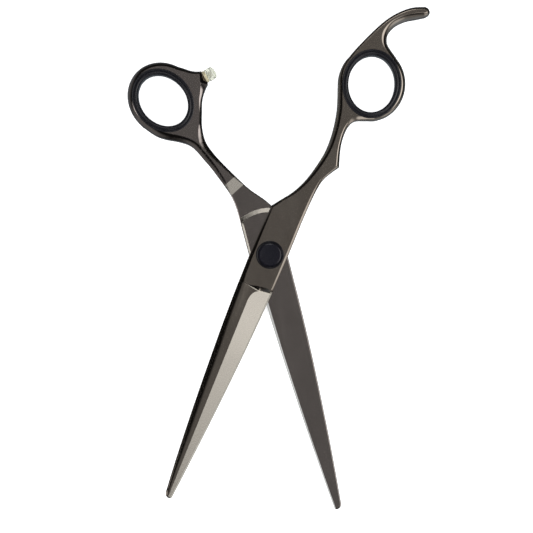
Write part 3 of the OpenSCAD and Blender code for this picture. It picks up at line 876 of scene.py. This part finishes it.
def painted_material(name, low, high, rough):
    m, tree, shader = new_material(name)
    grain = even_noise(tree, 2600, 3.0)
    set_inputs(tree, shader, {
        "Base Color": spread_colour(tree, grain, low, high), "Specular IOR Level": 0.3,
        "Roughness": spread_value(tree, grain, *rough), "Normal": bumped(tree, grain, 0.03)})
    return m


def clear_material(name):
    m, tree, shader = new_material(name)
    cloud = even_noise(tree, 900, 2.0)
    set_inputs(tree, shader, {
        "Base Color": spread_colour(tree, cloud, (0.66, 0.68, 0.58), (0.8, 0.81, 0.74)),
        "Roughness": spread_value(tree, cloud, 0.08, 0.18), "Transmission Weight": 0.72, "IOR": 1.49})
    return m


# -------------------- turned and swept pieces

def mesh_piece(name, verts, faces, material, sharp=35):
    mesh = bpy.data.meshes.new(name)
    mesh.from_pydata([tuple(v) for v in verts], [], [tuple(f) for f in faces])
    mesh.materials.append(material)
    mesh.polygons.foreach_set("use_smooth", [True] * len(mesh.polygons))
    mesh.update()
    mesh.set_sharp_from_angle(angle=math.radians(sharp))
    return add_object(name, mesh)


def lathe(name, profile, centre, axis, material, n=96, wave=None):
    """A profile of (radius, height) in mm turned about an axis through centre, which is in metres.
    wave(row, angle) may move the radius, as for grip notches. The profile runs anticlockwise."""
    axis = Vector(axis).normalized()
    side = axis.orthogonal().normalized()
    other = axis.cross(side)
    verts, faces, index = [], [], []
    for r, (radius, height) in enumerate(profile):
        row = []
        if radius < 1e-6:
            verts.append(Vector(centre) + axis * height * MM)
            row = [len(verts) - 1] * n
        else:
            for i in range(n):
                a = 2 * math.pi * i / n
                q = radius + (wave(r, a) if wave else 0)
                v = side * math.cos(a) + other * math.sin(a)
                verts.append(Vector(centre) + (v * q + axis * height) * MM)
                row.append(len(verts) - 1)
        index.append(row)
    for r in range(len(profile) - 1):
        for i in range(n):
            j = (i + 1) % n
            f = [index[r][i], index[r][j], index[r + 1][j], index[r + 1][i]]
            f = [v for k, v in enumerate(f) if v not in f[:k]]
            if len(f) > 2:
                faces.append(f)
    return mesh_piece(name, verts, faces, material)


def arc_points(cx, cz, r, start, end, n):
    """Points of an arc, for a lathe profile or a ring section. The angles are in degrees."""
    turns = [math.radians(start + (end - start) * k / n) for k in range(n + 1)]
    return [(cx + r * math.cos(a), cz + r * math.sin(a)) for a in turns]


def insert_section():
    """The rubber insert's section: distance out from the hole, and height."""
    top = [(0.0, 4.7)] + arc_points(0.85, 5.2, 0.85, 175, 60, 9)
    top += [(1.42, 5.84), (1.52, 5.74), (1.6, 5.74), (1.68, 5.82)]
    top += arc_points(1.93, 5.74, 0.25, 140, 20, 6)
    top += [(2.28, 5.8), (2.3, 5.42), (1.3, 5.42)]
    return [(0.0, RIDE_Z)] + top + [(out, 2 * RIDE_Z - z) for out, z in reversed(top)]


def insert_ring(name, node_name, material, body):
    """A rubber insert: the section carried round the hole's own shape."""
    centre, half_l, half_w, angle = hole_of(node_name)
    section = insert_section()
    rows, m = 160, len(section)
    verts, faces = [], []
    for i in range(rows):
        a = 2 * math.pi * i / rows
        ring = [((half_l + out) * math.cos(a), (half_w + out) * math.sin(a)) for out, _ in section]
        for (x, y), (_, z) in zip(turned(ring, angle) + centre, section):
            verts.append((x * MM, y * MM, z * MM))
    for i in range(rows):
        for j in range(m):
            i2, j2 = (i + 1) % rows, (j + 1) % m
            faces.append((i * m + j, i2 * m + j, i2 * m + j2, i * m + j2))
    piece = mesh_piece(name, verts, faces, material, sharp=40)
    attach(piece, body)
    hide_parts(node_name)


def hole_of(node_name):
    """Centre, half length, half width and direction of an insert's hole, from its CAD mesh."""
    sliced = sorted(slice_loops(node_name, RIDE_Z), key=length_of)
    p = curve_through(sliced[0], 0.4)
    centre = (p.min(0) + p.max(0)) / 2
    q = p - centre
    r = np.hypot(q[:, 0], q[:, 1])
    k = int(r.argmax())
    return centre, r.max(), r.min(), math.atan2(q[k, 1], q[k, 0])


# -------------------- the pieces

def half_materials(side, way, coating, edge_name, edge, edge_rough, edge_metallic):
    """The materials of a half in the order of its slots: coated, ground and honed."""
    return [
        ground_metal("coated_steel_" + side, way, *coating, (0.09, 0.15)),
        ground_metal("ground_bevel_" + side, way, (0.265, 0.248, 0.222), (0.335, 0.315, 0.285),
                     (0.2, 0.3), (700, 5200, 3000), 0.06, streaks=True),
        ground_metal(edge_name, way, *edge, edge_rough, metallic=edge_metallic),
    ]


def build_halves():
    finger_mats = half_materials(
        "finger", -FINGER_TURN, ((0.235, 0.205, 0.178), (0.275, 0.243, 0.212)),
        "worn_edge_finger", ((0.5, 0.46, 0.39), (0.6, 0.56, 0.49)), (0.4, 0.5), 0.6)
    thumb_mats = half_materials(
        "thumb", -THUMB_TURN, ((0.235, 0.209, 0.198), (0.272, 0.243, 0.232)),
        "honed_edge_thumb", ((0.4, 0.4, 0.39), (0.5, 0.5, 0.49)), (0.35, 0.45), 0.3)
    for name, half, mats, body, old in (
            ("finger_half_body", make_finger(), finger_mats, "finger_side", "finger_half"),
            ("thumb_half_body", make_thumb(), thumb_mats, "thumb_side", "thumb_half")):
        piece = build_half(name, half, mats)
        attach(piece, body)
        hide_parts(old)


def build_inserts():
    rubber = rubber_material("insert_rubber")
    insert_ring("finger_insert_rubber", "finger_insert", rubber, "finger_side")
    insert_ring("thumb_insert_rubber", "thumb_insert", rubber, "thumb_side")


def build_bumper():
    """Clear ribbed pad on a turned metal stud."""
    axis = (math.cos(BUMPER_ANGLE), math.sin(BUMPER_ANGLE), 0)
    lo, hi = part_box("bumper_pad")
    half_pad = 1.79
    base = (lo + hi) / 2 - Vector(axis) * half_pad * MM
    metal = ground_metal("stud_metal", 0.4, (0.62, 0.56, 0.38), (0.74, 0.68, 0.5), (0.3, 0.42),
                         metallic=0.55)
    clear = clear_material("clear_pad_plastic")
    stud = [
        (0, -3.12), (0.55, -3.12), (0.78, -2.9), (0.78, -0.98), (2.0, -0.98), (2.22, -0.9),
        (2.3, -0.78), (2.3, -0.5), (2.18, -0.42), (2.18, -0.34), (2.3, -0.26), (2.3, -0.2),
        (2.1, -0.05), (0.78, -0.02), (0.78, 1.2), (1.05, 1.4), (1.05, 1.78), (0.75, 1.98), (0, 1.98),
    ]
    piece = lathe("bumper_stud_turned", stud, base, axis, metal)
    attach(piece, "thumb_side")
    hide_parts("bumper_stud")
    pad = [
        (0.84, 0), (1.95, 0), (2.25, 0.12), (2.38, 0.35), (2.38, 0.75), (2.22, 0.9), (2.22, 1.05),
        (2.38, 1.2), (2.38, 1.9), (2.24, 2.05), (2.24, 2.15), (2.36, 2.3), (2.3, 2.6), (2.1, 2.95),
        (1.75, 3.25), (1.3, 3.45), (0.7, 3.55), (0, 3.57), (0, 2.03), (0.8, 2.03), (1.12, 1.83),
        (1.12, 1.37), (0.84, 1.15), (0.84, 0),
    ]
    piece = lathe("bumper_pad_clear", pad, base, axis, clear)
    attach(piece, "thumb_side")
    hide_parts("bumper_pad")


def build_dial():
    """Tension dial: a rim with fine grip notches round a flat inlaid disc."""
    lo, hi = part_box("dial_nut")
    outer = (hi.x - lo.x) / 2 / MM
    centre = ((lo.x + hi.x) / 2, (lo.y + hi.y) / 2, 0)
    top = hi.z / MM
    bottom = top - 1.85
    bore_r, recess_z, notches = 2.31, 6.47, 48

    def notch(row, angle):
        return -0.07 * max(0.0, math.cos(notches * angle)) ** 2 if row in grip else 0.0

    profile = [(bore_r, recess_z), (4.15, recess_z), (4.15, bottom), (outer - 0.3, bottom)]
    profile.append((outer - 0.12, bottom + 0.06))
    grip = range(len(profile), len(profile) + 4)
    profile += [(outer - 0.01, bottom + 0.22), (outer, bottom + 0.5)]
    profile += [(outer, top - 0.62), (outer - 0.01, top - 0.4)]
    profile += arc_points(outer - 0.27, top - 0.27, 0.26, 0, 90, 6)
    profile += [(outer - 0.45, top - 0.01), (outer - 0.62, top - 0.06), (outer - 0.72, top - 0.16)]
    profile += [(outer - 0.75, top - 0.29), (bore_r, top - 0.29), (bore_r, recess_z)]
    rim = painted_material("dial_anodised", (0.002, 0.002, 0.003), (0.004, 0.004, 0.006), (0.12, 0.2))
    disc = painted_material("dial_inlay_face", (0.003, 0.003, 0.006), (0.006, 0.006, 0.01), (0.16, 0.24))
    piece = lathe("dial_body", profile, centre, (0, 0, 1), rim, n=288, wave=notch)
    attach(piece, "dial")
    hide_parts("dial_nut")
    r = outer - 0.92
    inlay = [(0, top - 0.29), (r, top - 0.29), (r, top - 0.2), (r - 0.05, top - 0.13)]
    inlay += [(r - 0.4, top - 0.04), (r - 0.46, top - 0.035), (r - 0.6, top - 0.045)]
    inlay += [(0.3, top - 0.1), (0, top - 0.1)]
    piece = lathe("dial_inlay", inlay, centre, (0, 0, 1), disc)
    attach(piece, "dial")
    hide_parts("dial_cap")


def paint_inner_nodes():
    """Materials of the CAD pieces that stay: the bolt and the bearing inside the pivot."""
    bolt = ground_metal("bolt_steel", 0.6, (0.42, 0.41, 0.4), (0.52, 0.51, 0.5), (0.18, 0.3))
    bronze = ground_metal("bearing_bronze", 0.2, (0.52, 0.36, 0.17), (0.62, 0.45, 0.24), (0.28, 0.42))
    race = ground_metal("race_steel", 0.9, (0.55, 0.55, 0.56), (0.66, 0.66, 0.67), (0.1, 0.2))
    spring = ground_metal("spring_steel", 0.3, (0.34, 0.33, 0.33), (0.44, 0.43, 0.43), (0.24, 0.36))
    slip = painted_material("slip_plastic", (0.72, 0.71, 0.68), (0.82, 0.81, 0.78), (0.4, 0.5))
    finish = {
        "pivot_bolt": bolt, "pivot_bush": bronze, "ball_cage": bronze, "glide_washer": slip,
        "lower_race": race, "upper_race": race, "bearing_balls": race, "detent_balls": race,
        "spring_washer": spring, "click_plate": spring, "detent_springs": spring,
    }
    for name, material in finish.items():
        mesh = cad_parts[name].data
        mesh.materials.clear()
        mesh.materials.append(material)


# -------------------- studio

def glow(tree, azimuth, zenith, inner, outer, strength):
    """A soft light patch of the studio: full inside one angle, gone past the other, in degrees."""
    a, z = math.radians(azimuth), math.radians(zenith)
    way = (math.sin(z) * math.cos(a), math.sin(z) * math.sin(a), math.cos(z))
    coords = node(tree, "ShaderNodeTexCoord", {})
    dot = node(tree, "ShaderNodeVectorMath", {0: coords.outputs["Generated"], 1: way},
               operation="DOT_PRODUCT")
    return map_range(tree, dot.outputs["Value"], math.cos(math.radians(outer)),
                     math.cos(math.radians(inner)), 0.0, strength, interpolation_type="SMOOTHSTEP")


def added(tree, first, second):
    return node(tree, "ShaderNodeMath", {0: first, 1: second}, operation="ADD").outputs["Value"]


# What the metal mirrors: azimuth, zenith, full inside, gone past, strength.
GLOWS = [
    (0, 0, 8, 20, 0.27),
    (-4, 30, 8, 25, 2.6),
    (-48, 69, 6, 20, 0.85),
    (-55, 82, 15, 48, 0.4),
    (-86, 62, 4, 11, 1.5),
    (93, 21, 2, 9, 3.8),
    (193, 42, 4, 11, 3.0),
    (165, 92, 15, 40, 0.2),
    (222, 65, 10, 34, 0.3),
    (0, 180, 76, 112, 0.22),
]


def build_world():
    """The glows, tinted towards the horizon, for mirror rays, and plain pale light for the rest."""
    world = bpy.data.worlds.new("studio")
    bpy.context.scene.world = world
    world.use_nodes = True
    world.cycles.sampling_method = "NONE"
    tree = world.node_tree
    total = glow(tree, *GLOWS[0])
    for g in GLOWS[1:]:
        total = added(tree, total, glow(tree, *g))
    coords = node(tree, "ShaderNodeTexCoord", {})
    split = node(tree, "ShaderNodeSeparateXYZ", {"Vector": coords.outputs["Generated"]})
    tint = spread_colour(tree, split.outputs["Z"], (0.82, 0.92, 1.0), (1.0, 0.99, 0.97), 0.05, 0.35)
    set_inputs(tree, tree.nodes["Background"], {"Color": tint, "Strength": added(tree, total, 0.015)})
    pale = node(tree, "ShaderNodeBackground", {"Color": (0.93, 0.94, 0.95, 1), "Strength": 1.0})
    rays = node(tree, "ShaderNodeLightPath", {})
    mix = node(tree, "ShaderNodeMixShader", {
        "Fac": rays.outputs["Is Glossy Ray"], 1: pale.outputs["Background"],
        2: tree.nodes["Background"].outputs["Background"]})
    set_inputs(tree, tree.nodes["World Output"], {"Surface": mix.outputs["Shader"]})


def build_floor():
    """White paper just under the shears, which the metal doesn't mirror."""
    bpy.ops.mesh.primitive_plane_add(size=3.0, location=(0, 0, -0.0004))
    floor = bpy.context.object
    floor.name = "floor"
    m, tree, shader = new_material("floor_paper")
    grain = even_noise(tree, 600, 2.0)
    set_inputs(tree, shader, {
        "Base Color": spread_colour(tree, grain, (0.93, 0.93, 0.93), (0.95, 0.95, 0.95)),
        "Roughness": 0.9, "Specular IOR Level": 0.0,
        "Emission Color": (1, 1, 1, 1), "Emission Strength": 0.6})
    floor.data.materials.append(m)
    floor.visible_glossy = False


def build_lights():
    for name, place, size, power in (
            ("key", (0.35, -0.35, 0.9), 0.7, 5.0), ("fill", (-0.5, 0.4, 0.8), 0.8, 2.5)):
        data = bpy.data.lights.new(name, "AREA")
        data.size = size
        data.energy = power
        light = add_object(name, data)
        light.location = place
        light.rotation_euler = Vector(place).to_track_quat("Z", "Y").to_euler()
        light.visible_glossy = False


def build_camera():
    """A long lens that looks straight down on the shears. Its place is in metres."""
    data = bpy.data.cameras.new("camera")
    data.sensor_width = 36
    data.lens = 111.6
    data.clip_start = 0.01
    camera = add_object("camera", data)
    camera.location = (-0.00123, -0.0042, 0.6031)
    scene = bpy.context.scene
    scene.camera = camera
    scene.view_settings.view_transform = "Standard"
    scene.view_settings.look = "None"


build_halves()
build_inserts()
build_bumper()
build_dial()
paint_inner_nodes()
build_world()
build_floor()
build_lights()
build_camera()
